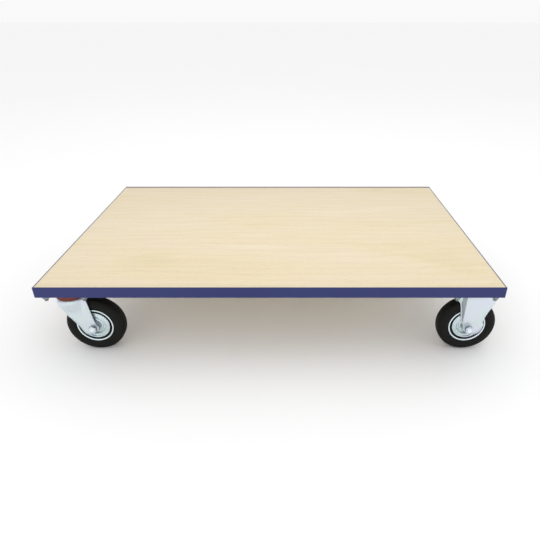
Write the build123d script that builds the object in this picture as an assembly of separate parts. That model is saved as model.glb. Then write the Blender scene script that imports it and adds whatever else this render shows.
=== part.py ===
from build123d import *
import math
import os

# Platform trolley, millimetres.
# X runs along the length, -Y is the long front side, +Z is up.
# The origin is on the floor, under the middle of the overall length and width.
# The fixed wheels reach past the +X end of the platform, so pieces are placed from
# the platform's centre and shifted by ORIGIN_SHIFT when they are saved.
# Swivel castors stand at the -X end, fixed castors at the +X end.

# ---------------------------------------------------------------- overall
LENGTH = 1200.0
WIDTH = 800.0
HEIGHT = 230.0

# ---------------------------------------------------------------- frame
RAIL_LEG = 30.0
RAIL_WALL = 3.0
CORNER_PLATE_THICK = 4.0
CORNER_PLATE_LENGTH = 150.0
CORNER_PLATE_WIDTH = 134.0
CORNER_PLATE_INSET_X = 1.0
CORNER_PLATE_INSET_Y = 8.0
KINGPIN_OPENING_RADIUS = 17.0

# ---------------------------------------------------------------- deck and its supports
DECK_LIP = 2.0
DECK_GAP = 0.4
TUBE_HEIGHT = 15.0
TUBE_WIDTH = 30.0
TUBE_WALL = 1.5
CROSS_TUBE_X = (-440.0, -147.0, 147.0, 440.0)
SCREW_Y = (-330.0, -110.0, 110.0, 330.0)
SCREW_RADIUS = 2.5
SCREW_HEAD_RADIUS = 4.5
SCREW_BITE = 7.0

# ---------------------------------------------------------------- castor placing
SWIVEL_X = -537.0
FIXED_X = 539.0
CASTOR_Y = 332.0
TRAIL = 50.0

# ---------------------------------------------------------------- castor plates and fixings
PLATE_LENGTH = 120.0
PLATE_WIDTH = 104.0
PLATE_THICK = 4.0
HOLE_PITCH_X = 100.0
HOLE_PITCH_Y = 78.0
HOLE_RADIUS = 5.5
STUD_RADIUS = 5.0
STUD_LENGTH = 25.0
WASHER_RADIUS = 10.0
WASHER_THICK = 2.0
STUD_NUT_FLATS = 16.0
STUD_NUT_HEIGHT = 8.0

# ---------------------------------------------------------------- swivel head
HEAD_RADIUS = 33.0
HEAD_DEPTH = 14.0
CROWN_RADIUS = 43.0
CROWN_TOP = 172.0
CROWN_THICK = 4.0
CROWN_BORE = 9.0
RING_INNER = 35.0
RING_OUTER = 39.0
RING_HEIGHT = 11.0
UPPER_BALL_RADIUS = 4.0
UPPER_BALL_CIRCLE = 26.0
UPPER_BALL_COUNT = 16
LOWER_BALL_RADIUS = 3.0
LOWER_BALL_CIRCLE = 19.0
LOWER_BALL_COUNT = 16
RACE_RADIUS = 24.0
RACE_THICK = 3.0
RACE_GAP = 0.4
KINGPIN_RADIUS = 6.0
KINGPIN_FLATS = 19.0
KINGPIN_HEAD = 7.0
KINGPIN_NUT = 6.0

# ---------------------------------------------------------------- forks and axles
FORK_INNER = 24.0
FORK_SHEET = 3.0
AXLE_RADIUS = 6.0
AXLE_FLATS = 19.0
AXLE_HEAD = 7.5
AXLE_NUT = 10.0
AXLE_WASHER_RADIUS = 12.0
AXLE_WASHER_THICK = 2.0
AXLE_THREAD_END = 2.0
SLEEVE_RADIUS = 10.0

# ---------------------------------------------------------------- wheel
WHEEL_RADIUS = 80.0
TYRE_HALF_WIDTH = 20.0
TYRE_BORE = 48.0
HUB_TUBE_INNER = 13.5
HUB_TUBE_OUTER = 16.0
HUB_TUBE_HALF = 22.5
ROLLER_COUNT = 10
ROLLER_RADIUS = 1.6
ROLLER_HALF = 18.0
CAGE_HALF = 20.0

# ---------------------------------------------------------------- levels
RAIL_BOTTOM = HEIGHT - RAIL_LEG
SUPPORT_BOTTOM = RAIL_BOTTOM + RAIL_WALL
DECK_BOTTOM = SUPPORT_BOTTOM + TUBE_HEIGHT
DECK_TOP = HEIGHT - DECK_LIP
CORNER_PLATE_BOTTOM = RAIL_BOTTOM - CORNER_PLATE_THICK
PLATE_BOTTOM = CORNER_PLATE_BOTTOM - PLATE_THICK
HEAD_BOTTOM = PLATE_BOTTOM - HEAD_DEPTH
CROWN_BOTTOM = CROWN_TOP - CROWN_THICK
RACE_TOP = CROWN_BOTTOM - 2 * LOWER_BALL_RADIUS - RACE_GAP
AXLE_Z = WHEEL_RADIUS
FORK_OUTER = FORK_INNER + FORK_SHEET

ORIGIN_SHIFT = (FIXED_X + WHEEL_RADIUS - LENGTH / 2) / 2

SIDES = (("front", -1), ("rear", 1))

os.makedirs("parts", exist_ok=True)


def save(name, shape):
    """Write one named piece, or one set of like pieces, to its own file."""
    pieces = shape if isinstance(shape, list) else [shape]
    solids = [s for p in pieces for s in (Pos(-ORIGIN_SHIFT, 0, 0) * p).solids()]
    body = solids[0] if len(solids) == 1 else Compound(children=solids)
    body.label = name
    export_step(body, "parts/" + name + ".step")


def block(x0, x1, y0, y1, z0, z1):
    """Box from its two opposite corners."""
    centre = Pos((x0 + x1) / 2, (y0 + y1) / 2, (z0 + z1) / 2)
    return centre * Box(x1 - x0, y1 - y0, z1 - z0)


def post(radius, z0, z1):
    """Upright cylinder on the Z axis."""
    return Pos(0, 0, (z0 + z1) / 2) * Cylinder(radius, z1 - z0)


def spindle(radius, y0, y1):
    """Cylinder on the Y axis."""
    return Pos(0, (y0 + y1) / 2, 0) * Rot(90, 0, 0) * Cylinder(radius, abs(y1 - y0))


def hexagon(flats, z0, z1):
    """Upright hexagonal prism on the Z axis."""
    outline = RegularPolygon(flats / 2, 6, major_radius=False)
    return Pos(0, 0, z0) * extrude(outline, z1 - z0)


def hexagon_y(flats, y0, y1):
    """Hexagonal prism on the Y axis."""
    return Pos(0, y1, 0) * Rot(90, 0, 0) * hexagon(flats, 0, y1 - y0)


def circle_of(piece, count, radius, along_y=False):
    """Copies of a piece spread evenly on a circle."""
    placed = []
    for i in range(count):
        a = 2 * math.pi * i / count
        u = radius * math.cos(a)
        v = radius * math.sin(a)
        placed.append((Pos(u, 0, v) if along_y else Pos(u, v, 0)) * piece)
    return placed


def hole_places():
    """The four fixing holes of a castor plate, from the plate's centre."""
    return [(sx * HOLE_PITCH_X / 2, sy * HOLE_PITCH_Y / 2) for sx in (-1, 1) for sy in (-1, 1)]


def castor_places():
    """Plate centres of the four castors."""
    return [(x, side * CASTOR_Y) for x in (SWIVEL_X, FIXED_X) for _, side in SIDES]


# ---------------------------------------------------------------- frame rails
def mitred_rail(length):
    """L section rail along X: outer face at y = 0, inside towards +Y, 45 degree mitres."""
    upright = block(-length / 2, length / 2, 0, RAIL_WALL, RAIL_BOTTOM, HEIGHT)
    shelf = block(-length / 2, length / 2, 0, RAIL_LEG, RAIL_BOTTOM, SUPPORT_BOTTOM)
    plan = Polygon(
        (-length / 2, 0),
        (length / 2, 0),
        (length / 2 - RAIL_LEG, RAIL_LEG),
        (-length / 2 + RAIL_LEG, RAIL_LEG),
        align=None,
    )
    keep = Pos(0, 0, RAIL_BOTTOM) * extrude(plan, RAIL_LEG)
    return (upright + shelf) & keep


long_rail = mitred_rail(LENGTH)
short_rail = mitred_rail(WIDTH)
save("rail_front", Pos(0, -WIDTH / 2, 0) * long_rail)
save("rail_rear", Rot(0, 0, 180) * Pos(0, -WIDTH / 2, 0) * long_rail)
save("rail_left", Rot(0, 0, -90) * Pos(0, -LENGTH / 2, 0) * short_rail)
save("rail_right", Rot(0, 0, 90) * Pos(0, -LENGTH / 2, 0) * short_rail)

# ---------------------------------------------------------------- deck supports
inner_x = LENGTH / 2 - RAIL_WALL
inner_y = WIDTH / 2 - RAIL_WALL
screw_hole = post(SCREW_RADIUS, SUPPORT_BOTTOM, DECK_BOTTOM + SCREW_BITE)

cross_tubes = []
for x in CROSS_TUBE_X:
    half = TUBE_WIDTH / 2
    outer = block(x - half, x + half, -inner_y, inner_y, SUPPORT_BOTTOM, DECK_BOTTOM)
    hollow = block(
        x - half + TUBE_WALL,
        x + half - TUBE_WALL,
        -inner_y,
        inner_y,
        SUPPORT_BOTTOM + TUBE_WALL,
        DECK_BOTTOM - TUBE_WALL,
    )
    tube = outer - hollow
    for y in SCREW_Y:
        tube -= Pos(x, y, 0) * screw_hole
    cross_tubes.append(tube)
save("cross_tubes", cross_tubes)


def edge_tube(length):
    """Square support tube along X, on the shelf of a rail."""
    outer = Box(length, TUBE_HEIGHT, TUBE_HEIGHT)
    hollow = Box(length, TUBE_HEIGHT - 2 * TUBE_WALL, TUBE_HEIGHT - 2 * TUBE_WALL)
    return outer - hollow


support_mid = SUPPORT_BOTTOM + TUBE_HEIGHT / 2
edge_supports = []
stops = [-inner_x]
for x in CROSS_TUBE_X:
    stops += [x - TUBE_WIDTH / 2, x + TUBE_WIDTH / 2]
stops.append(inner_x)
for x0, x1 in zip(stops[0::2], stops[1::2]):
    for side in (-1, 1):
        y = side * (inner_y - TUBE_HEIGHT / 2)
        edge_supports.append(Pos((x0 + x1) / 2, y, support_mid) * edge_tube(x1 - x0))
for side in (-1, 1):
    x = side * (inner_x - TUBE_HEIGHT / 2)
    span = 2 * (inner_y - TUBE_HEIGHT)
    edge_supports.append(Pos(x, 0, support_mid) * Rot(0, 0, 90) * edge_tube(span))
save("edge_supports", edge_supports)

# ---------------------------------------------------------------- deck board and screws
deck = block(
    -inner_x + DECK_GAP,
    inner_x - DECK_GAP,
    -inner_y + DECK_GAP,
    inner_y - DECK_GAP,
    DECK_BOTTOM,
    DECK_TOP,
)
screw = screw_hole + post(SCREW_HEAD_RADIUS, SUPPORT_BOTTOM - 2.0, SUPPORT_BOTTOM)
screws = []
for x in CROSS_TUBE_X:
    for y in SCREW_Y:
        deck -= Pos(x, y, 0) * screw_hole
        screws.append(Pos(x, y, 0) * screw)
save("deck_board", deck)
save("deck_screws", screws)

# ---------------------------------------------------------------- corner plates
corner_plates = []
for x, y in castor_places():
    sx = math.copysign(1, x)
    sy = math.copysign(1, y)
    far_x = LENGTH / 2 - CORNER_PLATE_INSET_X
    far_y = WIDTH / 2 - CORNER_PLATE_INSET_Y
    plate = block(
        min(sx * far_x, sx * (far_x - CORNER_PLATE_LENGTH)),
        max(sx * far_x, sx * (far_x - CORNER_PLATE_LENGTH)),
        min(sy * far_y, sy * (far_y - CORNER_PLATE_WIDTH)),
        max(sy * far_y, sy * (far_y - CORNER_PLATE_WIDTH)),
        CORNER_PLATE_BOTTOM,
        RAIL_BOTTOM,
    )
    for hx, hy in hole_places():
        plate -= Pos(x + hx, y + hy, 0) * post(STUD_RADIUS, CORNER_PLATE_BOTTOM, RAIL_BOTTOM)
    if x < 0:
        opening = post(KINGPIN_OPENING_RADIUS, CORNER_PLATE_BOTTOM, RAIL_BOTTOM)
        plate -= Pos(x, y, 0) * opening
    corner_plates.append(plate)
save("corner_plates", corner_plates)

# ---------------------------------------------------------------- castor fixings
washer_bottom = PLATE_BOTTOM - WASHER_THICK
nut_bottom = washer_bottom - STUD_NUT_HEIGHT
stud = post(STUD_RADIUS, RAIL_BOTTOM - STUD_LENGTH, RAIL_BOTTOM)
washer = post(WASHER_RADIUS, washer_bottom, PLATE_BOTTOM)
washer -= post(STUD_RADIUS, washer_bottom, PLATE_BOTTOM)
nut = hexagon(STUD_NUT_FLATS, nut_bottom, washer_bottom)
nut -= post(STUD_RADIUS, nut_bottom, washer_bottom)
places = [Pos(x + hx, y + hy, 0) for x, y in castor_places() for hx, hy in hole_places()]
save("castor_studs", [p * stud for p in places])
save("castor_washers", [p * washer for p in places])
save("castor_nuts", [p * nut for p in places])


def drilled_plate():
    """Castor top plate with its four fixing holes, on the Z axis."""
    half_x = PLATE_LENGTH / 2
    half_y = PLATE_WIDTH / 2
    plate = block(-half_x, half_x, -half_y, half_y, PLATE_BOTTOM, CORNER_PLATE_BOTTOM)
    plate = fillet(plate.edges().filter_by(Axis.Z), 6)
    for hx, hy in hole_places():
        plate -= Pos(hx, hy, 0) * post(HOLE_RADIUS, PLATE_BOTTOM, CORNER_PLATE_BOTTOM)
    return plate


# ---------------------------------------------------------------- fork leg outlines
def tangent(px, pz, cx, cz, radius, side):
    """Point where a line from (px, pz) touches a circle."""
    dx = px - cx
    dz = pz - cz
    a = math.atan2(dz, dx) + side * math.acos(radius / math.hypot(dx, dz))
    return cx + radius * math.cos(a), cz + radius * math.sin(a)


def leg_outline(top_inner, top_outer, blade, boss):
    """Leg in the wheel plane, measured from the axle: two top corners, the broad
    rounded blade on the outer side and the small boss round the axle."""
    outer_touch = tangent(*top_outer, *blade, math.copysign(1, blade[0]) * -1)
    inner_touch = tangent(*top_inner, *boss, math.copysign(1, blade[0]))
    bottom_blade = (blade[0], blade[1] - blade[2])
    bottom_boss = (boss[0], boss[1] - boss[2])
    corners = [top_inner, inner_touch, bottom_boss, bottom_blade, outer_touch, top_outer]
    if blade[0] < 0:
        corners.reverse()
    outline = Polygon(*corners, align=None)
    outline += Pos(blade[0], blade[1]) * Circle(blade[2])
    outline += Pos(boss[0], boss[1]) * Circle(boss[2])
    return outline - Circle(AXLE_RADIUS)


def legs(outline):
    """Both legs of a fork, with the axle on the Y axis."""
    sheet = extrude(Plane.XZ * outline, FORK_SHEET)
    return (Pos(0, -FORK_INNER, 0) * sheet) + (Pos(0, FORK_OUTER, 0) * sheet)


crown_top = CROWN_TOP - AXLE_Z
swivel_outline = leg_outline((-6, crown_top), (-86, crown_top), (-20, -1, 25), (0, -1, 13))
fixed_outline = leg_outline((-36, crown_top), (60, crown_top), (15, -1, 24), (0, -1, 13))
fixed_outline += Polygon(
    (-36, crown_top),
    (60, crown_top),
    (60, PLATE_BOTTOM - AXLE_Z),
    (-56, PLATE_BOTTOM - AXLE_Z),
    (-50, crown_top + 8),
    align=None,
)

# ---------------------------------------------------------------- swivel head pieces
head = post(HEAD_RADIUS, HEAD_BOTTOM, PLATE_BOTTOM)
ball_level = CROWN_TOP + UPPER_BALL_RADIUS
head -= Pos(0, 0, ball_level) * Torus(UPPER_BALL_CIRCLE, UPPER_BALL_RADIUS + 0.4)
swivel_plate = drilled_plate() + head - post(KINGPIN_RADIUS, HEAD_BOTTOM, CORNER_PLATE_BOTTOM)

nut_top = RACE_TOP - RACE_THICK
pin_end = nut_top - KINGPIN_NUT - 0.6
kingpin = post(KINGPIN_RADIUS, pin_end, CORNER_PLATE_BOTTOM)
kingpin += hexagon(KINGPIN_FLATS, CORNER_PLATE_BOTTOM, CORNER_PLATE_BOTTOM + KINGPIN_HEAD)
kingpin_nut = hexagon(KINGPIN_FLATS, nut_top - KINGPIN_NUT, nut_top)
kingpin_nut -= post(KINGPIN_RADIUS, nut_top - KINGPIN_NUT, nut_top)

race = post(RACE_RADIUS, nut_top, RACE_TOP + 2.4) - post(RACE_RADIUS - 1.5, RACE_TOP, RACE_TOP + 2.4)
race -= post(KINGPIN_RADIUS, nut_top, RACE_TOP)

dust_ring = post(RING_OUTER, CROWN_TOP, CROWN_TOP + RING_HEIGHT)
dust_ring -= post(RING_INNER, CROWN_TOP, CROWN_TOP + RING_HEIGHT)
upper_ball = Pos(0, 0, ball_level) * Sphere(UPPER_BALL_RADIUS)
lower_ball = Pos(0, 0, CROWN_BOTTOM - LOWER_BALL_RADIUS) * Sphere(LOWER_BALL_RADIUS)

crown = post(CROWN_RADIUS, CROWN_BOTTOM, CROWN_TOP)
crown += block(TRAIL - 86, TRAIL - 6, -FORK_OUTER, FORK_OUTER, CROWN_BOTTOM, CROWN_TOP)
swivel_legs = Pos(TRAIL, 0, AXLE_Z) * legs(swivel_outline)
swivel_fork = crown + swivel_legs - post(CROWN_BORE, CROWN_BOTTOM, CROWN_TOP)

fixed_fork = Pos(0, 0, AXLE_Z) * legs(fixed_outline)
bridge = block(-36, 36, -FORK_INNER, FORK_INNER, PLATE_BOTTOM - FORK_SHEET, PLATE_BOTTOM)
fixed_fork += bridge


# ---------------------------------------------------------------- axle and wheel pieces
def axle_bolt(side):
    """M12 bolt, head on the inner side, thread end on the outer side."""
    end = FORK_OUTER + AXLE_WASHER_THICK + AXLE_NUT + AXLE_THREAD_END
    bolt = spindle(AXLE_RADIUS, -FORK_OUTER, end)
    bolt += hexagon_y(AXLE_FLATS, -FORK_OUTER - AXLE_HEAD, -FORK_OUTER)
    return bolt if side > 0 else Rot(0, 0, 180) * bolt


def axle_nut(side):
    """Washer and nut on the outer side of the fork."""
    face = FORK_OUTER + AXLE_WASHER_THICK
    ring = spindle(AXLE_WASHER_RADIUS, FORK_OUTER, face) - spindle(AXLE_RADIUS, FORK_OUTER, face)
    hexnut = hexagon_y(AXLE_FLATS, face, face + AXLE_NUT)
    hexnut -= spindle(AXLE_RADIUS, face, face + AXLE_NUT)
    turn = Rot(0, 0, 0 if side > 0 else 180)
    return [turn * ring, turn * hexnut]


sleeve = spindle(SLEEVE_RADIUS, -FORK_INNER, FORK_INNER)
sleeve -= spindle(AXLE_RADIUS, -FORK_INNER, FORK_INNER)

hub_tube = spindle(HUB_TUBE_OUTER, -HUB_TUBE_HALF, HUB_TUBE_HALF)
hub_tube -= spindle(HUB_TUBE_INNER, -HUB_TUBE_HALF, HUB_TUBE_HALF)

roller_circle = (SLEEVE_RADIUS + HUB_TUBE_INNER) / 2
cage_ring = spindle(roller_circle + 1.5, ROLLER_HALF, CAGE_HALF)
cage_ring -= spindle(roller_circle - 1.5, ROLLER_HALF, CAGE_HALF)
roller_bearing = cage_ring + Pos(0, -ROLLER_HALF - CAGE_HALF, 0) * cage_ring
roller = spindle(ROLLER_RADIUS, -ROLLER_HALF, ROLLER_HALF)
for placed in circle_of(roller, ROLLER_COUNT, roller_circle, along_y=True):
    roller_bearing += placed

# Pressed rim half from the hub tube out to the lip, as radius and distance from mid plane.
rim_profile = Polygon(
    (HUB_TUBE_OUTER, 12),
    (21, 12),
    (25, 16),
    (31, 16),
    (34, 13.5),
    (38, 13.5),
    (40, 15),
    (42, 15),
    (43, 14),
    (43, 7),
    (46, 7),
    (46, 17.2),
    (47, 18.2),
    (50.5, 18.2),
    (51, 17.6),
    (51, 16.2),
    (TYRE_BORE, 16.2),
    (TYRE_BORE, 0),
    (46, 0),
    (46, 5),
    (41, 5),
    (41, 13),
    (40.6, 13),
    (38.7, 11.5),
    (33.3, 11.5),
    (30.3, 14),
    (25.9, 14),
    (21.8, 10),
    (HUB_TUBE_OUTER, 10),
    align=None,
)
rim_half = revolve(rim_profile, Axis.Y)

# Solid rubber tyre: narrow at the rim, full sidewalls, rounded shoulders.
tyre_edge = Polyline((TYRE_BORE, 16.2), (52, 16.2))
tyre_edge += ThreePointArc((52, 16.2), (55.5, 17.6), (58, 19))
tyre_edge += ThreePointArc((58, 19), (64, TYRE_HALF_WIDTH), (70, 19))
tyre_edge += ThreePointArc((70, 19), (77, 15.8), (WHEEL_RADIUS, 9))
tyre_edge += Line((WHEEL_RADIUS, 9), (WHEEL_RADIUS, 0))
tyre_edge += Line((WHEEL_RADIUS, 0), (TYRE_BORE, 0))
tyre_edge += Line((TYRE_BORE, 0), (TYRE_BORE, 16.2))
tyre_half = revolve(make_face(tyre_edge), Axis.Y)
tyre = tyre_half + mirror(tyre_half, Plane.XZ)


def save_wheel(name, x, y, side):
    """Tyre, rim halves, hub tube and roller bearing of one wheel."""
    hub = Pos(x, y, AXLE_Z)
    outer_turn = Rot(0 if side > 0 else 180, 0, 0)
    inner_turn = Rot(180 if side > 0 else 0, 0, 0)
    save("tyre_" + name, hub * tyre)
    save("rim_outer_" + name, hub * outer_turn * rim_half)
    save("rim_inner_" + name, hub * inner_turn * rim_half)
    save("hub_tube_" + name, hub * hub_tube)
    save("roller_bearing_" + name, hub * roller_bearing)


# ---------------------------------------------------------------- swivel castors
for label, side in SIDES:
    y = side * CASTOR_Y
    axis = Pos(SWIVEL_X, y, 0)
    hub = Pos(SWIVEL_X + TRAIL, y, AXLE_Z)
    save("swivel_plate_" + label, axis * swivel_plate)
    save("kingpin_" + label, [axis * kingpin, axis * kingpin_nut])
    save("lower_race_" + label, axis * race)
    save("swivel_fork_" + label, axis * swivel_fork)
    save("dust_ring_" + label, axis * dust_ring)
    upper = circle_of(upper_ball, UPPER_BALL_COUNT, UPPER_BALL_CIRCLE)
    lower = circle_of(lower_ball, LOWER_BALL_COUNT, LOWER_BALL_CIRCLE)
    save("upper_balls_" + label, [axis * b for b in upper])
    save("lower_balls_" + label, [axis * b for b in lower])
    save("swivel_axle_bolt_" + label, hub * axle_bolt(side))
    save("swivel_axle_sleeve_" + label, hub * sleeve)
    save("swivel_axle_nut_" + label, [hub * p for p in axle_nut(side)])
    save_wheel("swivel_" + label, SWIVEL_X + TRAIL, y, side)

# ---------------------------------------------------------------- fixed castors
fixed_plates = []
fixed_bolts = []
fixed_sleeves = []
fixed_nuts = []
for label, side in SIDES:
    y = side * CASTOR_Y
    axis = Pos(FIXED_X, y, 0)
    hub = Pos(FIXED_X, y, AXLE_Z)
    fixed_plates.append(axis * drilled_plate())
    fixed_bolts.append(hub * axle_bolt(side))
    fixed_sleeves.append(hub * sleeve)
    fixed_nuts += [hub * p for p in axle_nut(side)]
    save("fixed_fork_" + label, axis * fixed_fork)
    save_wheel("fixed_" + label, FIXED_X, y, side)
save("fixed_plates", fixed_plates)
save("fixed_axle_bolts", fixed_bolts)
save("fixed_axle_sleeves", fixed_sleeves)
save("fixed_axle_nuts", fixed_nuts)
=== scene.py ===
import math

import bmesh
import bpy
import numpy as np
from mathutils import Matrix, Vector


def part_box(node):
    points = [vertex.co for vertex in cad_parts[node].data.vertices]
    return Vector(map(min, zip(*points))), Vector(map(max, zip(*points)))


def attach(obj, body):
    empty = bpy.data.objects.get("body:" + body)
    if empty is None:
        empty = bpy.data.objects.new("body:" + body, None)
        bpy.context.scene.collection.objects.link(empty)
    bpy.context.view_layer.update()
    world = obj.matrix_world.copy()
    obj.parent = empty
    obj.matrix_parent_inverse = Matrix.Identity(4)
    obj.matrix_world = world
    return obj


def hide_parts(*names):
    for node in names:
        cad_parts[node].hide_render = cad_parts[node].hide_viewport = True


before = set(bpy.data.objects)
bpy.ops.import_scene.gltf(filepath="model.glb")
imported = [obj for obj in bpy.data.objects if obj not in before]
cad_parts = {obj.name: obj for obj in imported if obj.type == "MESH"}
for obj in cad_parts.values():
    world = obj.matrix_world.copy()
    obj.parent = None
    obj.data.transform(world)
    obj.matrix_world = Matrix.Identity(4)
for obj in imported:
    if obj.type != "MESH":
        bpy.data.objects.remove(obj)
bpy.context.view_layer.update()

MM = 0.001  # sizes of parts are in millimetres; other units are named where they are used
ENDS = (("front", -1), ("rear", 1))  # which side of the trolley, and its sign along Y


# ---------------------------------------------------------------- node helpers
def new_material(name):
    """A new material with its node tree, its shader and its object coordinates."""
    material = bpy.data.materials.new(name)
    material.use_nodes = True
    tree = material.node_tree
    shader = tree.nodes["Principled BSDF"]
    place = tree.nodes.new("ShaderNodeTexCoord").outputs["Object"]
    return material, tree, shader, place


def stretched(tree, place, scale):
    """Object coordinates scaled along each axis."""
    node = tree.nodes.new("ShaderNodeMapping")
    node.inputs["Scale"].default_value = scale
    tree.links.new(place, node.inputs["Vector"])
    return node.outputs["Vector"]


def noise(tree, vector, scale, detail, roughness, distortion=0.0):
    """Noise value from 0 to 1."""
    node = tree.nodes.new("ShaderNodeTexNoise")
    node.inputs["Scale"].default_value = scale
    node.inputs["Detail"].default_value = detail
    node.inputs["Roughness"].default_value = roughness
    node.inputs["Distortion"].default_value = distortion
    tree.links.new(vector, node.inputs["Vector"])
    return node.outputs["Fac"]


def ramp(tree, value, stops):
    """Colour ramp from a value: stops are (position, colour) pairs."""
    node = tree.nodes.new("ShaderNodeValToRGB")
    band = node.color_ramp
    while len(band.elements) < len(stops):
        band.elements.new(0.5)
    for element, (position, colour) in zip(band.elements, stops):
        element.position = position
        element.color = (*colour, 1)
    tree.links.new(value, node.inputs["Fac"])
    return node.outputs["Color"]


def grey(level):
    """Neutral colour of one level."""
    return (level, level, level)


def darkened(tree, factor, first, second):
    """The first colour multiplied by the second, by a factor from 0 to 1."""
    node = tree.nodes.new("ShaderNodeMix")
    node.data_type = "RGBA"
    node.blend_type = "MULTIPLY"
    node.inputs[0].default_value = factor
    tree.links.new(first, node.inputs[6])
    tree.links.new(second, node.inputs[7])
    return node.outputs[2]


def bump(tree, shader, height, strength, distance):
    """Surface relief from a value; distance is in metres."""
    node = tree.nodes.new("ShaderNodeBump")
    node.inputs["Strength"].default_value = strength
    node.inputs["Distance"].default_value = distance
    tree.links.new(height, node.inputs["Height"])
    tree.links.new(node.outputs["Normal"], shader.inputs["Normal"])


# ---------------------------------------------------------------- materials
def deck_laminate():
    """Pale beech face: soft cloudy figure, wavy growth lines and short pores along X."""
    material, tree, shader, place = new_material("deck_laminate")
    cloud = noise(tree, stretched(tree, place, (1.3, 5.0, 5.0)), 1.5, 4, 0.5, 0.8)
    streak = noise(tree, stretched(tree, place, (4.0, 85.0, 85.0)), 1.6, 5, 0.62, 0.3)
    pores = noise(tree, stretched(tree, place, (42.0, 520.0, 520.0)), 1.6, 2, 0.5)
    wave = tree.nodes.new("ShaderNodeTexWave")
    wave.wave_type = "BANDS"
    wave.bands_direction = "Y"
    wave.inputs["Scale"].default_value = 9.0
    wave.inputs["Distortion"].default_value = 9.0
    wave.inputs["Detail"].default_value = 3.0
    wave.inputs["Detail Scale"].default_value = 0.7
    tree.links.new(stretched(tree, place, (0.22, 1.0, 1.0)), wave.inputs["Vector"])
    base = ramp(
        tree,
        cloud,
        (
            (0.30, (0.778, 0.669, 0.445)),
            (0.46, (0.808, 0.699, 0.493)),
            (0.60, (0.814, 0.703, 0.518)),
            (0.74, (0.831, 0.732, 0.542)),
        ),
    )
    growth = ramp(
        tree,
        wave.outputs["Fac"],
        ((0.0, (0.955, 0.935, 0.895)), (0.35, grey(0.985)), (1.0, grey(1.0))),
    )
    fine = ramp(tree, streak, ((0.34, (0.930, 0.905, 0.865)), (0.58, grey(1.0))))
    dots = ramp(tree, pores, ((0.31, (0.70, 0.62, 0.52)), (0.37, grey(1.0))))
    colour = darkened(tree, 0.5, base, growth)
    colour = darkened(tree, 0.55, colour, fine)
    colour = darkened(tree, 0.5, colour, dots)
    tree.links.new(colour, shader.inputs["Base Color"])
    rough = ramp(tree, streak, ((0.2, grey(0.52)), (0.8, grey(0.42))))
    tree.links.new(rough, shader.inputs["Roughness"])
    shader.inputs["Specular IOR Level"].default_value = 0.25
    bump(tree, shader, pores, 0.08, 0.0002)
    return material


def board_core():
    """Pressed wood core seen at the board's edge."""
    material, tree, shader, place = new_material("board_core")
    chip = noise(tree, stretched(tree, place, (180, 180, 420)), 1.0, 5, 0.7)
    colour = ramp(tree, chip, ((0.3, (0.28, 0.18, 0.09)), (0.7, (0.55, 0.40, 0.24))))
    tree.links.new(colour, shader.inputs["Base Color"])
    shader.inputs["Roughness"].default_value = 0.85
    bump(tree, shader, chip, 0.4, 0.0005)
    return material


def frame_paint():
    """Violet-blue powder coat with a faint orange-peel surface."""
    material, tree, shader, place = new_material("frame_paint")
    patch = noise(tree, place, 3.0, 4, 0.6)
    peel = noise(tree, place, 420.0, 2, 0.5)
    colour = ramp(tree, patch, ((0.3, (0.021, 0.029, 0.124)), (0.7, (0.029, 0.038, 0.150))))
    tree.links.new(colour, shader.inputs["Base Color"])
    rough = ramp(tree, patch, ((0.25, grey(0.34)), (0.75, grey(0.46))))
    tree.links.new(rough, shader.inputs["Roughness"])
    shader.inputs["Specular IOR Level"].default_value = 0.28
    bump(tree, shader, peel, 0.10, 0.0003)
    return material


def zinc(name, dull, low, high):
    """Zinc plate: metal with faint blue, green and lilac passivation tints.

    dull adds to the roughness, high is the metal's level, and the further low lies under
    high, the darker the grain's dark places are.
    """
    material, tree, shader, place = new_material(name)
    cloud = noise(tree, place, 14.0, 3, 0.5, 0.4)
    spangle = noise(tree, place, 260.0, 3, 0.6)
    tint = ramp(
        tree,
        cloud,
        (
            (0.28, (high * 0.90, high * 1.02, high * 1.15)),
            (0.42, (high * 0.92, high * 1.06, high * 1.06)),
            (0.58, (high * 0.96, high * 1.04, high * 1.13)),
            (0.74, (high * 1.00, high * 1.00, high * 1.18)),
        ),
    )
    grain = ramp(tree, spangle, ((0.3, grey(low / high + 0.12)), (0.7, grey(1.0))))
    tree.links.new(darkened(tree, 0.5, tint, grain), shader.inputs["Base Color"])
    rough = ramp(tree, spangle, ((0.25, grey(0.26 + dull)), (0.8, grey(0.40 + dull))))
    tree.links.new(rough, shader.inputs["Roughness"])
    shader.inputs["Metallic"].default_value = 0.80
    bump(tree, shader, spangle, 0.05, 0.0002)
    return material


def groove_painted_shade():
    """Painted shade: near-black metal for the bottom of the rim groove, where shade falls."""
    material, tree, shader, place = new_material("groove_painted_shade")
    shade_mottle = noise(tree, place, 60.0, 4, 0.6)
    colour = ramp(tree, shade_mottle, ((0.3, (0.012, 0.013, 0.015)), (0.7, (0.035, 0.036, 0.04))))
    tree.links.new(colour, shader.inputs["Base Color"])
    shader.inputs["Metallic"].default_value = 0.4
    shader.inputs["Roughness"].default_value = 0.5
    bump(tree, shader, shade_mottle, 0.1, 0.0003)
    return material


def tyre_rubber():
    """Matte black solid rubber with fine moulding texture and a trace of dust."""
    material, tree, shader, place = new_material("tyre_rubber")
    dust = noise(tree, place, 22.0, 5, 0.65, 0.5)
    grain = noise(tree, place, 700.0, 3, 0.6)
    colour = ramp(
        tree,
        dust,
        (
            (0.35, (0.004, 0.004, 0.0035)),
            (0.60, (0.007, 0.007, 0.006)),
            (0.85, (0.017, 0.016, 0.013)),
        ),
    )
    tree.links.new(colour, shader.inputs["Base Color"])
    rough = ramp(tree, dust, ((0.3, grey(0.58)), (0.8, grey(0.80))))
    tree.links.new(rough, shader.inputs["Roughness"])
    shader.inputs["Specular IOR Level"].default_value = 0.18
    bump(tree, shader, grain, 0.22, 0.0004)
    return material


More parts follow.
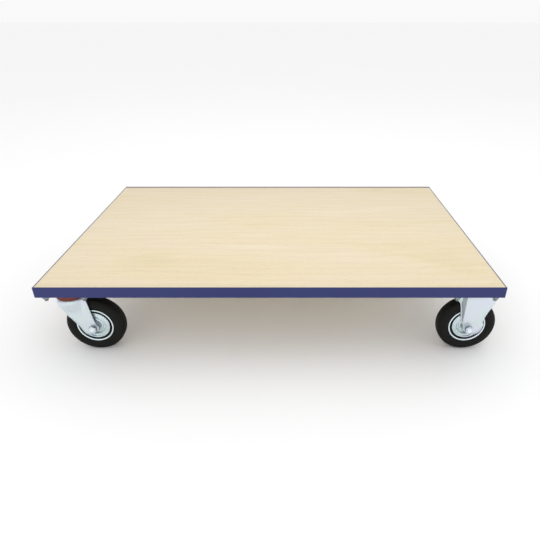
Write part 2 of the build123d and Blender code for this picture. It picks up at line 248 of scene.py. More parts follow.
def red_seal():
    """Red-brown moulded plastic dust seal."""
    material, tree, shader, place = new_material("red_seal")
    tone = noise(tree, place, 40.0, 4, 0.6)
    colour = ramp(tree, tone, ((0.3, (0.135, 0.013, 0.006)), (0.7, (0.205, 0.021, 0.011))))
    tree.links.new(colour, shader.inputs["Base Color"])
    rough = ramp(tree, tone, ((0.3, grey(0.42)), (0.7, grey(0.55))))
    tree.links.new(rough, shader.inputs["Roughness"])
    bump(tree, shader, noise(tree, place, 600.0, 2, 0.5), 0.1, 0.0003)
    return material


def floor_white():
    """Pale studio floor."""
    material, tree, shader, place = new_material("floor_white")
    soft = noise(tree, place, 0.8, 3, 0.5)
    colour = ramp(tree, soft, ((0.2, grey(0.97 * 0.99)), (0.8, grey(0.97))))
    tree.links.new(colour, shader.inputs["Base Color"])
    shader.inputs["Roughness"].default_value = 0.9
    shader.inputs["Specular IOR Level"].default_value = 0.2
    return material


DECK = deck_laminate()
CORE = board_core()
PAINT = frame_paint()
ZINC = zinc("zinc_sheet", 0.0, 0.58, 0.73)
# Zinc darkened as painted shade, for the fasteners that sit in shade under the frame and beside the
# forks.
ZINC_FASTENERS_PAINTED_SHADE = zinc("zinc_fasteners_painted_shade", 0.0, 0.17, 0.31)
# Darker bluish zinc as a painted dark reflection, in a strip along a fixed fork leg.
ZINC_PAINTED_REFLECTION = zinc("zinc_painted_reflection", 0.02, 0.26, 0.35)
ZINC_RIM = zinc("zinc_rim", -0.06, 0.60, 0.78)
# Brighter zinc as a painted highlight, on the rim lip, the swivel crown and the axle bolts.
ZINC_PAINTED_HIGHLIGHT = zinc("zinc_painted_highlight", -0.08, 0.72, 0.90)
BEARING = zinc("bearing_steel", 0.0, 0.28, 0.42)
# Near-black metal as painted shade in the bottom of the rim groove.
GROOVE_PAINTED_SHADE = groove_painted_shade()
RUBBER = tyre_rubber()
SEAL = red_seal()


# ---------------------------------------------------------------- mesh helpers
def shaped(name, points, faces, materials, angle, weld=1e-6, slots=None):
    """Object from points, with outward normals and edges sharp above an angle in degrees.

    Points are in millimetres, but weld is in metres. slots gives each face's material.
    """
    mesh = bpy.data.meshes.new(name)
    mesh.from_pydata([tuple(np.asarray(p) * MM) for p in points], [], faces)
    if slots:
        mesh.polygons.foreach_set("material_index", slots)
    bm = bmesh.new()
    bm.from_mesh(mesh)
    bmesh.ops.remove_doubles(bm, verts=bm.verts, dist=weld)
    bmesh.ops.recalc_face_normals(bm, faces=bm.faces)
    bm.to_mesh(mesh)
    bm.free()
    mesh.shade_smooth()
    mesh.set_sharp_from_angle(angle=math.radians(angle))
    for material in materials:
        mesh.materials.append(material)
    obj = bpy.data.objects.new(name, mesh)
    bpy.context.scene.collection.objects.link(obj)
    return obj


def baked(obj, angle):
    """Turns an object's modifiers into its mesh."""
    graph = bpy.context.evaluated_depsgraph_get()
    mesh = bpy.data.meshes.new_from_object(obj.evaluated_get(graph))
    obj.modifiers.clear()
    obj.data = mesh
    mesh.shade_smooth()
    mesh.set_sharp_from_angle(angle=math.radians(angle))
    return obj


def rounded(points, radius, steps=5, closed=True):
    """Outline with each corner replaced by a small curve; radius is one number or one each."""
    pts = [np.array(p, float) for p in points]
    count = len(pts)
    out = []
    for i, corner in enumerate(pts):
        if not closed and i in (0, count - 1):
            out.append(corner)
            continue
        before = pts[i - 1] - corner
        after = pts[(i + 1) % count] - corner
        reach = radius[i] if isinstance(radius, (list, tuple)) else radius
        cut = min(reach, 0.48 * np.linalg.norm(before), 0.48 * np.linalg.norm(after))
        if cut < 1e-6:
            out.append(corner)
            continue
        a = corner + before / np.linalg.norm(before) * cut
        b = corner + after / np.linalg.norm(after) * cut
        for t in np.linspace(0, 1, steps):
            out.append((1 - t) ** 2 * a + 2 * t * (1 - t) * corner + t * t * b)
    return out


def loft(rows, closed_rows=True, closed_columns=True, cap=False):
    """Faces between rows of equal length. Returns points and faces."""
    columns = len(rows[0])
    points = [p for row in rows for p in row]
    faces = []
    for i in range(len(rows) if closed_rows else len(rows) - 1):
        for j in range(columns if closed_columns else columns - 1):
            k = (i + 1) % len(rows)
            m = (j + 1) % columns
            faces.append((i * columns + j, i * columns + m, k * columns + m, k * columns + j))
    if cap:
        faces.append(tuple(range(columns)))
        faces.append(tuple((len(rows) - 1) * columns + j for j in reversed(range(columns))))
    return points, faces


def lathe(name, outline, centre, along, materials, side=1, segments=96, angle=32, closed=True):
    """Solid of revolution: outline pairs are radius and distance along the axis."""
    turns = np.linspace(0, 2 * math.pi, segments, endpoint=False)
    rows = []
    for r, h in outline:
        ring = [(r * math.cos(a), r * math.sin(a)) for a in turns]
        if along == "Y":
            row = [(centre[0] + u, centre[1] + side * h, centre[2] + v) for u, v in ring]
        else:
            row = [(centre[0] + u, centre[1] + v, centre[2] + h) for u, v in ring]
        rows.append(row)
    points, faces = loft(rows, closed_rows=closed)
    return shaped(name, points, faces, materials, angle)


def polar(name, rows_of, centre, along, material, side, segments=72):
    """Closed ring of rows, each a function of the angle giving radius and height."""
    turns = np.linspace(0, 2 * math.pi, segments, endpoint=False)
    rows = []
    for place in rows_of:
        row = []
        for a in turns:
            r, h = place(a)
            u = r * math.cos(a)
            v = r * math.sin(a)
            if along == "Y":
                row.append((centre[0] + u, centre[1] + side * h, centre[2] + v))
            else:
                row.append((centre[0] + u, centre[1] + v, centre[2] + side * h))
        rows.append(row)
    points, faces = loft(rows)
    return shaped(name, points, faces, [material], 30)


def joined(name, pieces):
    """One object from several."""
    first = pieces[0]
    with bpy.context.temp_override(
        active_object=first, selected_objects=pieces, selected_editable_objects=pieces
    ):
        bpy.ops.object.join()
    first.name = name
    first.data.name = name
    return first


def hex_nut(name, flats, height, bore, centre, along, side, turn):
    """Chamfered hexagon nut; height runs from 0 outwards along the axis."""
    half = flats / 2
    land = half * 0.96
    lead = 0.7

    def edge(a):
        local = (a + turn) % (math.pi / 3) - math.pi / 6
        return half / math.cos(local)

    def drop(a):
        return max(0.0, edge(a) - half * 0.97) * 0.55

    rows = (
        lambda a: (bore, 0.6),
        lambda a: (bore + lead, 0.0),
        lambda a: (land, 0.0),
        lambda a: (edge(a), drop(a)),
        lambda a: (edge(a), height - drop(a)),
        lambda a: (land, height),
        lambda a: (bore + lead, height),
        lambda a: (bore, height - 0.6),
    )
    # Nuts and heads take the zinc darkened as painted shade.
    return polar(name, rows, centre, along, ZINC_FASTENERS_PAINTED_SHADE, side)


def threaded_end(name, radius, low, high, pitch, centre, along, side=1, material=ZINC_FASTENERS_PAINTED_SHADE):
    """Bolt end with ringed thread and a chamfered tip at the high end."""
    root = radius - 0.55
    outline = [(0.0, low), (radius, low)]
    h = low + 0.3
    while h < high - 1.4:
        outline += [
            (radius, h),
            (radius, h + pitch * 0.2),
            (root, h + pitch * 0.5),
            (radius, h + pitch * 0.8),
        ]
        h += pitch
    outline += [
        (radius, high - 1.3),
        (radius - 1.1, high - 0.1),
        (radius - 1.6, high),
        (0.0, high),
    ]
    return lathe(name, outline, centre, along, [material], side, 32, 30, closed=False)


def centre_of(node):
    """Middle of a CAD node's box."""
    low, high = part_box(node)
    return np.array((low + high) / 2) / MM


def corners_of(node):
    """Lowest and highest corner of a CAD node's box."""
    low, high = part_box(node)
    return np.array(low) / MM, np.array(high) / MM


# ---------------------------------------------------------------- platform
rail_low, rail_high = corners_of("rail_front")
LEFT = corners_of("rail_left")[0][0]
RIGHT = corners_of("rail_right")[1][0]
FRONT = rail_low[1]
REAR = corners_of("rail_rear")[1][1]
TOP = rail_high[2]
RAIL_BOTTOM = rail_low[2]
LEG = TOP - RAIL_BOTTOM
DECK_FACE = corners_of("deck_board")[1][2]
WALL = 3.0  # thickness of the angle's legs
SIDE_LIP = 1.9  # width of the end rails' lip beside the laminate
SIDE_RISE = 0.5  # height of that lip above the deck
REBATE = 1.4  # depth of the end rails' step below the deck's face
LAMINATE = 1.3  # thickness of the laminate, 0.1 less than the step
LIP_GAP = 0.15  # between the laminate and the lip
CORNER_EASE = 2.2  # radius of the frame's upright outer corners


def rail(name, start, end, inward, rebated):
    """Mitred angle rail from one outer corner to the next, with eased edges and corners."""
    inner = RAIL_BOTTOM + WALL
    section = [(0, RAIL_BOTTOM), (LEG, RAIL_BOTTOM), (LEG, inner), (WALL, inner)]
    if rebated:
        step = DECK_FACE - REBATE
        lip = DECK_FACE + SIDE_RISE
        section += [(WALL, step), (SIDE_LIP, step), (SIDE_LIP, lip), (0, lip)]
        section = rounded(section, [1.2, 1.2, 1.4, 3.0, 0.3, 0.2, 0.4, 0.5])
    else:
        section = rounded(section + [(WALL, TOP), (0, TOP)], [1.2, 1.2, 1.4, 3.0, 1.4, 0.9])
    start = np.array(start, float)
    end = np.array(end, float)
    run = (end - start) / np.linalg.norm(end - start)
    inward = np.array(inward, float)
    rows = []
    for anchor, sign in ((start, 1), (end, -1)):
        bend = [(math.pi / 4) * k / 3 for k in range(4)]
        for a in bend if sign > 0 else bend[::-1]:
            spread = math.pi / 4 - a
            row = []
            for t, z in section:
                reach = max(CORNER_EASE, t)
                base = anchor + run * sign * reach + inward * reach
                r = max(CORNER_EASE - t, 0.0)
                flat = base - inward * r * math.cos(spread) - run * sign * r * math.sin(spread)
                row.append((flat[0], flat[1], z))
            rows.append(row)
    points, faces = loft(rows, closed_rows=False, cap=True)
    return shaped(name, points, faces, [PAINT], 38)


CORNERS = {
    "fl": (LEFT, FRONT),
    "fr": (RIGHT, FRONT),
    "rl": (LEFT, REAR),
    "rr": (RIGHT, REAR),
}
for node, a, b, inward in (
    ("rail_front", "fl", "fr", (0, 1)),
    ("rail_rear", "rl", "rr", (0, -1)),
    ("rail_left", "fl", "rl", (1, 0)),
    ("rail_right", "fr", "rr", (-1, 0)),
):
    piece = rail(node + "_angle", CORNERS[a], CORNERS[b], inward, inward[0] != 0)
    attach(piece, "trolley")
    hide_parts(node)


def deck_board():
    """Board whose laminate face reaches over the steps of the two end rails."""
    (x0, y0, z0), (x1, y1, z1) = corners_of("deck_board")
    over = x0 - LEFT - SIDE_LIP - LIP_GAP
    levels = (
        (z0, 0.8, 0.0),
        (z0 + 0.8, 0.0, 0.0),
        (z1 - LAMINATE, 0.0, 0.0),
        (z1 - LAMINATE, 0.0, over),
        (z1 - 0.3, 0.0, over),
        (z1, 0.4, over),
    )
    rows = []
    for z, inset, reach in levels:
        ring = []
        for cx, cy, sx, sy in ((x0, y0, 1, 1), (x1, y0, -1, 1), (x1, y1, -1, -1), (x0, y1, 1, -1)):
            ring.append((cx + sx * (inset - reach), cy + sy * inset, z))
        rows.append(ring)
    points, faces = loft(rows, closed_rows=False, cap=True)
    obj = shaped("deck_board_laminate", points, faces, [DECK, CORE], 40)
    for face in obj.data.polygons:
        edge = abs(face.normal.z) < 0.3
        if edge and face.center.z / MM < z1 - 1.2:
            face.material_index = 1
    return obj


piece = deck_board()
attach(piece, "trolley")
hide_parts("deck_board")

# ---------------------------------------------------------------- castor fixings
HOLE_X = 50  # half the castor plate's hole pitch along the trolley
HOLE_Y = 39  # and across it
STUD_RADIUS = 5.0
NUT_HEIGHT = 8
stud_low, stud_high = corners_of("castor_studs")
NUT_LOW = corners_of("castor_nuts")[0][2]
plate_low, plate_high = corners_of("swivel_plate_front")
HALF_PLATE = (plate_high[1] - plate_low[1]) / 2
plate_centres = []
for label, _ in ENDS:
    low, high = corners_of("swivel_plate_" + label)
    plate_centres.append((low + high) / 2)
low, high = corners_of("fixed_plates")
for _, side in ENDS:
    y = low[1] if side < 0 else high[1] - 2 * HALF_PLATE
    near = np.array((low[0], y, low[2]))
    far = np.array((high[0], y + 2 * HALF_PLATE, high[2]))
    plate_centres.append((near + far) / 2)

WASHER = rounded([(5.3, 0.0), (10.0, 0.0), (10.0, 2.0), (5.3, 2.0)], 0.5, 3)
stud_ends = []
stud_nuts = []
stud_washers = []
# Studs, nuts and washers take the zinc darkened as painted shade, for the shade they sit in under
# the frame.
for mid in plate_centres:
    for dx in (-HOLE_X, HOLE_X):
        for dy in (-HOLE_Y, HOLE_Y):
            spot = np.array((mid[0] + dx, mid[1] + dy, 0.0))
            # The tip is made at the high end, so each stud is mirrored to point down afterwards.
            stud_ends.append(
                threaded_end("stud", STUD_RADIUS, -stud_high[2] + 0.2, -stud_low[2], 1.5, spot, "Z")
            )
            nut_level = spot + (0, 0, NUT_LOW)
            nut_turn = 0.37 * (len(stud_nuts) + 1)
            stud_nuts.append(hex_nut("nut", 16, NUT_HEIGHT, 4.7, nut_level, "Z", 1, nut_turn))
            washer_level = nut_level + (0, 0, NUT_HEIGHT)
            stud_washers.append(
                lathe("washer", WASHER, washer_level, "Z", [ZINC_FASTENERS_PAINTED_SHADE], segments=40)
            )
for obj in stud_ends:
    for vertex in obj.data.vertices:
        vertex.co.z *= -1
    obj.data.flip_normals()
for name, group, node in (
    ("castor_studs_threaded", stud_ends, "castor_studs"),
    ("castor_nuts_chamfered", stud_nuts, "castor_nuts"),
    ("castor_washers_eased", stud_washers, "castor_washers"),
):
    piece = joined(name, group)
    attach(piece, "trolley")
    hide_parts(node)


# ---------------------------------------------------------------- wheels
# Profiles are pairs of radius and distance from the wheel's middle plane.
TYRE_HALF = rounded(
    [
        (48.0, 15.8),
        (51.0, 15.8),
        (52.6, 16.4),
        (56.0, 18.6),
        (57.0, 18.7),
        (58.2, 19.4),
        (63.0, 20.0),
        (67.5, 19.7),
        (71.6, 18.6),
        (72.2, 18.0),
        (75.2, 16.2),
        (78.0, 13.3),
        (79.5, 9.6),
        (79.95, 5.0),
        (80.0, 0.4),
    ],
    1.2,
    4,
    closed=False,
)
TYRE = TYRE_HALF + [(r, -h) for r, h in reversed(TYRE_HALF)]
RIM = rounded(
    [
        (16.0, 14.0),
        (18.6, 13.8),
        (20.2, 12.0),
        (21.6, 8.8),
        (24.6, 8.8),
        (27.4, 13.2),
        (29.4, 15.4),
        (31.4, 14.8),
        (33.4, 12.4),
        (35.2, 12.6),
        (37.2, 16.6),
        (38.8, 17.2),
        (40.0, 15.6),
        (40.2, 6.2),
        (45.2, 6.2),
        (45.8, 9.0),
        (45.8, 15.4),
        (46.6, 17.6),
        (48.4, 18.2),
        (50.0, 17.6),
        (50.4, 16.4),
        (50.2, 16.0),
        (48.2, 15.6),
        (48.0, 8.0),
        (48.0, 0.2),
        (46.2, 0.2),
        (46.0, 4.4),
        (38.2, 4.4),
        (38.1, 13.8),
        (36.6, 11.6),
        (35.0, 10.4),
        (32.8, 10.6),
        (30.4, 13.2),
        (28.8, 12.0),
        (25.6, 7.0),
        (20.8, 7.0),
        (18.8, 10.2),
        (16.0, 11.6),
    ],
    1.5,
    4,
)
GROOVE_INNER = 39.7  # radii between which the rim's groove gets painted shade
GROOVE_OUTER = 46.2
GROOVE_TOP = 14.4  # up to this distance from the wheel's middle plane
LIP_INNER = 45.0  # radius outside which the rest of the rim has the lip's brighter zinc, a painted highlight
HUB_TUBE = rounded([(13.6, -22.0), (16.0, -22.0), (16.0, 22.0), (13.6, 22.0)], 0.6, 3)


def wheel(kind, label, side):
    """Tyre, two rim halves and hub tube of one wheel."""
    key = f"{kind}_{label}"
    body = f"wheel_{kind}_{label}"
    hub = centre_of("tyre_" + key)
    tyre = lathe("tyre_" + key + "_moulded", TYRE, hub, "Y", [RUBBER], side, 144, 50)
    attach(tyre, body)
    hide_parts("tyre_" + key)

    rim_materials = [ZINC_RIM, GROOVE_PAINTED_SHADE, ZINC_PAINTED_HIGHLIGHT]
    for name, face in (("rim_outer_", side), ("rim_inner_", -side)):
        rim = lathe(name + key + "_pressed", RIM, hub, "Y", rim_materials, face, 144, 40)
        # Groove faces get painted shade; faces beyond the lip's inner radius get brighter zinc as a
        # painted highlight.
        for polygon in rim.data.polygons:
            place = np.array(polygon.center) / MM - hub
            r = math.hypot(place[0], place[2])
            if GROOVE_INNER < r < GROOVE_OUTER and face * place[1] < GROOVE_TOP:
                polygon.material_index = 1
            elif r > LIP_INNER:
                polygon.material_index = 2
        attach(rim, body)
        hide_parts(name + key)

    sleeve = lathe("hub_tube_" + key + "_turned", HUB_TUBE, hub, "Y", [BEARING], 1, 64)
    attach(sleeve, body)
    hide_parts("hub_tube_" + key)


AXLE_FLATS = 19  # across the flats of the axle's nut and head
AXLE_WASHER = 2.0  # thickness


def axle_end(name, hub, side, body, face):
    """Washer and nut; face is the washer's inner side, measured from the wheel's middle."""
    outer = face + AXLE_WASHER
    ring = rounded([(6.2, face), (12.0, face), (12.0, outer), (6.2, outer)], 0.5, 3)
    washer = lathe("w", ring, hub, "Y", [ZINC], side, 48)
    nut = hex_nut("n", AXLE_FLATS, 9.6, 5.6, hub + (0, side * outer, 0), "Y", side, 0.5)
    # The end faces take the brighter sheet zinc and the flats the darker fastener zinc: a painted
    # lit face beside painted shaded flats.
    nut.data.materials.append(ZINC)
    for polygon in nut.data.polygons:
        if abs(polygon.normal.y) > 0.8:
            polygon.material_index = 1
    piece = joined(name, [washer, nut])
    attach(piece, body)
    return piece


def axle_bolt(name, hub, side, face):
    """Axle bolt, ringed with thread over its whole length, with a head on the inner side."""
    # The threaded shank is in the brighter zinc, a painted highlight on its end; the head is in the
    # zinc darkened as painted shade.
    shank = threaded_end("s", 6.0, -face, face + 14.0, 1.75, hub, "Y", side, ZINC_PAINTED_HIGHLIGHT)
    head = hex_nut("h", AXLE_FLATS, 7.5, 0.4, hub - (0, side * face, 0), "Y", -side, 0.2)
    return joined(name, [shank, head])


# ---------------------------------------------------------------- forks
def hull(points):
    """Convex outline round 2-D points, counter-clockwise."""
    pts = sorted(set((round(float(x), 4), round(float(y), 4)) for x, y in points))

    def half(seq):
        chain = []
        for p in seq:
            while len(chain) > 1:
                (ax, ay), (bx, by) = chain[-2], chain[-1]
                if (bx - ax) * (p[1] - ay) - (by - ay) * (p[0] - ax) > 0:
                    break
                chain.pop()
            chain.append(p)
        return chain[:-1]

    return half(pts) + half(pts[::-1])


def disc(x, z, r):
    """Points of a circle."""
    turns = np.linspace(0, 2 * math.pi, 48, endpoint=False)
    return [(x + r * math.cos(a), z + r * math.sin(a)) for a in turns]


def span(outline, z):
    """Left and right ends of an outline at one height."""
    levels = [p[1] for p in outline]
    z = min(max(z, min(levels) + 1e-4), max(levels) - 1e-4)
    xs = []
    for (ax, az), (bx, bz) in zip(outline, outline[1:] + outline[:1]):
        if min(az, bz) - 1e-9 <= z <= max(az, bz) + 1e-9:
            if abs(bz - az) < 1e-9:
                xs += [ax, bx]
            else:
                xs.append(ax + (bx - ax) * (z - az) / (bz - az))
    return min(xs), max(xs)


def edge_distances(outline, places, top):
    """Distance from each place to the outline, leaving out its top edge."""
    start = np.array(outline)
    end = np.roll(start, -1, axis=0)
    keep = ~((start[:, 1] > top - 0.5) & (end[:, 1] > top - 0.5))
    start, run = start[keep], (end - start)[keep]
    places = np.array(places)[:, None, :]
    t = ((places - start) * run).sum(2) / ((run**2).sum(1) + 1e-12)
    nearest = start + np.clip(t, 0, 1)[..., None] * run
    return np.sqrt(((places - nearest) ** 2).sum(2)).min(1)


def smooth(t):
    """Eased step from 0 to 1."""
    t = max(0.0, min(1.0, t))
    return t * t * (3 - 2 * t)


SHEET = 3.0  # thickness of the pressed fork sheet
LEG_ROWS = 72
EDGE_COLUMNS = 4
BAND_COLUMNS = 10
FACE_COLUMNS = 30
COLUMNS = EDGE_COLUMNS + BAND_COLUMNS + FACE_COLUMNS


def leg(outline, top, hub, side, offset, band=None):
    """Pressed leg: a grid over the outline, raised by offset(x, z, edge distance).

    band(z, left) gives the two sides of a strip in the second material, a painted dark reflection,
    or None below it.
    """
    low = min(z for _, z in outline)
    places = []
    slots = []
    for k in range(LEG_ROWS + 1):
        z = low + (top - low) * (1 - math.cos(math.pi / 2 * k / LEG_ROWS))
        left, right = span(outline, z)
        wide = right - left
        if band is None:
            for j in range(COLUMNS + 1):
                u = 0.35 * j / COLUMNS + 0.65 * (0.5 - 0.5 * math.cos(math.pi * j / COLUMNS))
                places.append((left + wide * u, z))
            continue
        strip = band(z, left)
        a, b = strip or (left + 2.0, left + 2.3)
        if wide < 8.0:
            a, b = left + wide * 0.25, left + wide * 0.30
        places += [(left + (a - left) * j / EDGE_COLUMNS, z) for j in range(EDGE_COLUMNS)]
        places += [(a + (b - a) * j / BAND_COLUMNS, z) for j in range(BAND_COLUMNS)]
        for j in range(FACE_COLUMNS + 1):
            u = 0.35 * j / FACE_COLUMNS + 0.65 * math.sin(math.pi / 2 * j / FACE_COLUMNS)
            places.append((b + (right - b) * u, z))
        last = EDGE_COLUMNS + BAND_COLUMNS
        # Faces in the strip take the second material, a painted dark reflection.
        slots += [int(bool(strip) and EDGE_COLUMNS <= j < last) for j in range(COLUMNS)]
    edges = edge_distances(outline, places, top)
    flat = [
        (hub[0] + x, hub[1] + side * offset(x, z, edge), hub[2] + z)
        for (x, z), edge in zip(places, edges)
    ]
    grid = [flat[k : k + COLUMNS + 1] for k in range(0, len(flat), COLUMNS + 1)]
    points, faces = loft(grid, closed_rows=False, closed_columns=False)
    obj = shaped("leg", points, faces, [ZINC, ZINC_PAINTED_REFLECTION], 60, 1e-5, slots[: len(faces)])
    outward = np.mean([np.array(f.normal)[1] * f.area for f in obj.data.polygons])
    if outward * side < 0:
        obj.data.flip_normals()
    solid = obj.modifiers.new("sheet", "SOLIDIFY")
    solid.thickness = SHEET * MM
    solid.offset = -1
    ease = obj.modifiers.new("ease", "BEVEL")
    ease.width = 0.9 * MM
    ease.segments = 3
    ease.limit_method = "ANGLE"
    ease.angle_limit = math.radians(50)
    return baked(obj, 50)


def tabled(table, z):
    """A table's x at one height."""
    return float(np.interp(z, [p[1] for p in table], [p[0] for p in table]))


def traced(outline, top, left_table, right_table, steps=90):
    """Outline re-cut at even levels, with the tabled edges from their lowest height up."""
    low = min(z for _, z in outline)
    ends = []
    for k in range(steps + 1):
        z = low + (top - low) * k / steps
        left, right = span(outline, z)
        if z >= left_table[0][1]:
            left = tabled(left_table, z)
        if z >= right_table[0][1]:
            right = tabled(right_table, z)
        ends.append((z, left, right))
    return [(r, z) for z, _, r in ends] + [(l, z) for z, l, _ in reversed(ends)]


# Edges of the fork legs: pairs of x and z from the axle, from the bottom up. They were measured in
# the photograph and then adjusted.
SWIVEL_LEFT = [
    (-14.0, -25.9),
    (-19.0, -24.9),
    (-25.2, -21.5),
    (-30.2, -15.0),
    (-33.8, -8.0),
    (-36.0, -1.5),
    (-39.4, 5.0),
    (-45.0, 13.0),
    (-51.2, 21.6),
    (-57.0, 30.5),
]
SWIVEL_RIGHT = [
    (12.6, 3.0),
    (10.6, 6.0),
    (7.0, 11.0),
    (3.8, 18.0),
    (2.2, 28.0),
    (0.6, 42.0),
    (-1.6, 58.0),
    (-3.6, 72.0),
    (-5.2, 81.0),
    (-7.2, 86.0),
    (-11.0, 89.2),
]
FIXED_LEFT = [
    (-12.6, 3.0),
    (-14.5, 8.0),
    (-19.0, 14.0),
    (-22.4, 22.0),
    (-24.0, 32.0),
    (-26.0, 42.0),
    (-28.0, 54.5),
    (-30.0, 66.0),
    (-31.8, 73.0),
    (-34.2, 79.0),
    (-38.4, 83.6),
    (-44.0, 87.0),
    (-50.0, 90.0),
    (-54.5, 94.0),
    (-57.0, 100.0),
]
FIXED_RIGHT = [
    (38.5, 12.0),
    (38.8, 22.0),
    (41.2, 32.0),
    (42.6, 37.0),
    (45.8, 46.0),
    (49.5, 54.5),
    (53.5, 62.0),
    (56.6, 67.5),
    (58.8, 73.0),
    (60.2, 79.0),
    (60.8, 88.0),
]
CROWN_RADIUS = 43.0
SWIVEL_FACE = 28.7  # inner side of the axle washers, 0.1 inside the leg's outer face
FIXED_FACE = 29.0
STRIP_LEFT = -30.6  # sides of the strip of painted dark reflection on a fixed leg, which has no fold in its shape
STRIP_RIGHT = -17.8


def swivel_fork(label, side):
    """Two pressed legs under a round crown, with the axle, its nut and the dust ring."""
    axis = centre_of("kingpin_" + label)
    hub = centre_of("tyre_swivel_" + label)
    crown_top = corners_of("swivel_fork_" + label)[1][2]
    trail = hub[0] - axis[0]
    top = crown_top - 3.0 - hub[2]
    shape = hull(disc(-20, -1, 25) + disc(0, -1, 13) + [(-84.0, top), (-6.0, top)])
    left = SWIVEL_LEFT + [(span(shape, z)[0], z) for z in np.linspace(36, top, 10)]
    outline = traced(shape, top, left, SWIVEL_RIGHT)

    def offset(x, z, edge):
        lift = 25.6 + 3.2 * smooth(edge / 7.0)
        place = x + trail
        curve = math.sqrt(max(0.0, (CROWN_RADIUS + 0.3) ** 2 - place**2)) - 28.8
        fade = smooth((z - (top - 46)) / 44.0)
        if curve > 0:
            lift = max(lift, lift + (28.8 + curve - lift) * fade)
        return lift

    pieces = [leg(outline, top, hub, face, offset) for face in (side, -side)]
    crown = [
        (9.0, 0.0),
        (CROWN_RADIUS - 3.5, 0.0),
        (CROWN_RADIUS, -2.6),
        (CROWN_RADIUS, -5.4),
        (CROWN_RADIUS - 3.0, -5.4),
        (CROWN_RADIUS - 3.2, -4.6),
        (CROWN_RADIUS - 5.0, -4.0),
        (9.0, -4.0),
    ]
    crown = rounded(crown, [0.6, 3.0, 2.0, 0.6, 0.6, 0.8, 0.8, 0.6], 6)
    level = (axis[0], axis[1], crown_top)
    # The crown is in the brighter zinc, a painted highlight for its rolled edge catching light.
    pieces.append(lathe("crown", crown, level, "Z", [ZINC_PAINTED_HIGHLIGHT]))
    fork = joined("swivel_fork_" + label + "_pressed", pieces)
    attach(fork, "swivel_" + label)
    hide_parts("swivel_fork_" + label)

    name = "swivel_axle_nut_" + label + "_hex"
    nut = axle_end(name, hub, side, "swivel_" + label, SWIVEL_FACE)
    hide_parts("swivel_axle_nut_" + label)
    bolt = axle_bolt("swivel_axle_bolt_" + label + "_hex", hub, side, SWIVEL_FACE)
    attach(bolt, "swivel_" + label)
    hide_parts("swivel_axle_bolt_" + label)

    low, high = corners_of("dust_ring_" + label)
    height = high[2] - low[2]
    ring = [
        (35.0, 0.1),
        (39.4, 0.1),
        (39.6, 2.0),
        (38.6, 3.0),
        (38.0, height - 1.5),
        (36.8, height),
        (35.0, height),
    ]
    level = (axis[0], axis[1], low[2])
    seal = lathe("dust_ring_" + label + "_seal", rounded(ring, 0.8, 4), level, "Z", [SEAL])
    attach(seal, "swivel_" + label)
    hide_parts("dust_ring_" + label)


def fixed_fork(label, side):
    """Two pressed legs that flare out under their plate."""
    hub = centre_of("tyre_fixed_" + label)
    plate_bottom = corners_of("fixed_plates")[0][2]
    top = plate_bottom - hub[2] - 0.4
    shoulders = [(-36, 92), (60, 92), (60, top), (-36, top)]
    shape = hull(disc(15, -1, 24) + disc(0, -1, 13) + shoulders)
    left = FIXED_LEFT + [(-58.0, top)]
    right = FIXED_RIGHT + [(61.0, top)]
    outline = traced(shape, top, left, right)

    def offset(x, z, edge):
        lift = 25.2 + 3.9 * smooth(edge / 9.0)
        flare = max(0.0, (z - 86) / (top - 86)) ** 2.2
        keep = 1 - smooth((abs(x) - 30) / 9.0)
        return min(lift, 29.0) * (1 - keep) + (lift + 11.0 * flare) * keep

    # Strip of painted dark reflection beside the leg's left edge.
    def band(z, edge):
        start = max(edge + 2.0, STRIP_LEFT)
        return (start, STRIP_RIGHT) if z > 0 and start < STRIP_RIGHT - 0.3 else None

    pieces = [leg(outline, top, hub, face, offset, band) for face in (side, -side)]
    fork = joined("fixed_fork_" + label + "_pressed", pieces)
    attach(fork, "trolley")
    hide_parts("fixed_fork_" + label)
    return hub


fixed_nuts = []
fixed_bolts = []
for label, side in ENDS:
    wheel("swivel", label, side)
    wheel("fixed", label, side)
    swivel_fork(label, side)
    hub = fixed_fork(label, side)
    fixed_nuts.append(axle_end("fixed_axle_nut_" + label, hub, side, "trolley", FIXED_FACE))
    fixed_bolts.append(axle_bolt("fixed_axle_bolt_" + label, hub, side, FIXED_FACE))
nuts = joined("fixed_axle_nuts_hex", fixed_nuts)
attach(nuts, "trolley")
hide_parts("fixed_axle_nuts")
bolts = joined("fixed_axle_bolts_hex", fixed_bolts)
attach(bolts, "trolley")
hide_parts("fixed_axle_bolts")

# ---------------------------------------------------------------- CAD nodes that stay
STAYING = {
    "corner_plates": PAINT,
    "cross_tubes": PAINT,
    "edge_supports": PAINT,
    # Screws and kingpins take the fastener zinc darkened as painted shade.
    "deck_screws": ZINC_FASTENERS_PAINTED_SHADE,
    "fixed_plates": ZINC,
    "fixed_axle_sleeves": BEARING,
}
for label, side in ENDS:
    STAYING["swivel_plate_" + label] = ZINC
    STAYING["kingpin_" + label] = ZINC_FASTENERS_PAINTED_SHADE
    STAYING["lower_race_" + label] = BEARING
    STAYING["upper_balls_" + label] = BEARING
    STAYING["lower_balls_" + label] = BEARING
    STAYING["swivel_axle_sleeve_" + label] = BEARING
    for kind in ("swivel", "fixed"):
        STAYING[f"roller_bearing_{kind}_{label}"] = BEARING
for node, material in STAYING.items():
    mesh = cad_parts[node].data
    for i in range(len(mesh.materials)):
        mesh.materials[i] = material

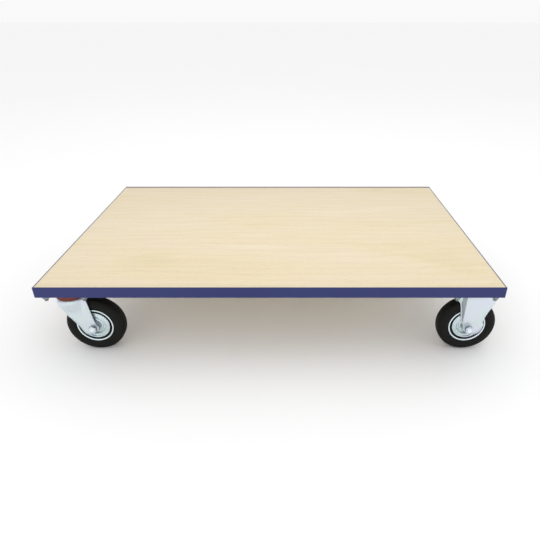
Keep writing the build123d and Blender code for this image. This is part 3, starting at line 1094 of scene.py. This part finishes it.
# ---------------------------------------------------------------- floor, light and camera
FLOOR_REACH = 40  # metres
floor_mesh = bpy.data.meshes.new("floor")
r = FLOOR_REACH
floor_mesh.from_pydata([(-r, -r, 0), (r, -r, 0), (r, r, 0), (-r, r, 0)], [], [(0, 1, 2, 3)])
floor_mesh.materials.append(floor_white())
floor = bpy.data.objects.new("floor", floor_mesh)
bpy.context.scene.collection.objects.link(floor)

world = bpy.data.worlds.new("studio")
bpy.context.scene.world = world
world.use_nodes = True
world.node_tree.nodes["Background"].inputs["Color"].default_value = (1.0, 1.0, 1.0, 1)
world.node_tree.nodes["Background"].inputs["Strength"].default_value = 0.95
bpy.context.scene.view_settings.view_transform = "Standard"


def softbox(name, place, target, size, power):
    """Rectangular lamp, in metres and watts, aimed at a point."""
    lamp = bpy.data.lights.new(name, "AREA")
    lamp.shape = "RECTANGLE"
    lamp.size, lamp.size_y = size
    lamp.energy = power
    obj = bpy.data.objects.new(name, lamp)
    obj.location = place
    obj.rotation_euler = (Vector(target) - Vector(place)).to_track_quat("-Z", "Y").to_euler()
    bpy.context.scene.collection.objects.link(obj)


softbox("overhead", (0.2, 0.3, 3.2), (0, 0, 0), (4.0, 3.4), 16)
softbox("front_fill", (-0.8, -3.6, 1.6), (0, 0, 0.1), (3.5, 1.8), 12)
softbox("right_fill", (3.4, -1.0, 1.6), (0, 0, 0.1), (2.0, 1.8), 5)

# The camera was fitted to the platform's edges and the wheels' rings in the photograph, with
# the platform's length and width set to 1200 and 800 mm.
CAMERA_SIDE = 0.056  # metres, from the middle of the frame's front top edge
CAMERA_BACK = 1.052
CAMERA_RISE = 0.607
CAMERA_PITCH = 29.76  # degrees below level
camera_data = bpy.data.cameras.new("photo_view")
camera_data.sensor_width = 36.0
camera_data.lens = 32.18
camera_data.shift_x = -0.0404
camera_data.shift_y = 0.0294
camera = bpy.data.objects.new("photo_view", camera_data)
camera.location = (
    (LEFT + RIGHT) / 2 * MM + CAMERA_SIDE,
    FRONT * MM - CAMERA_BACK,
    TOP * MM + CAMERA_RISE,
)
camera.rotation_euler = (math.radians(90 - CAMERA_PITCH), 0, 0)
bpy.context.scene.collection.objects.link(camera)
bpy.context.scene.camera = camera
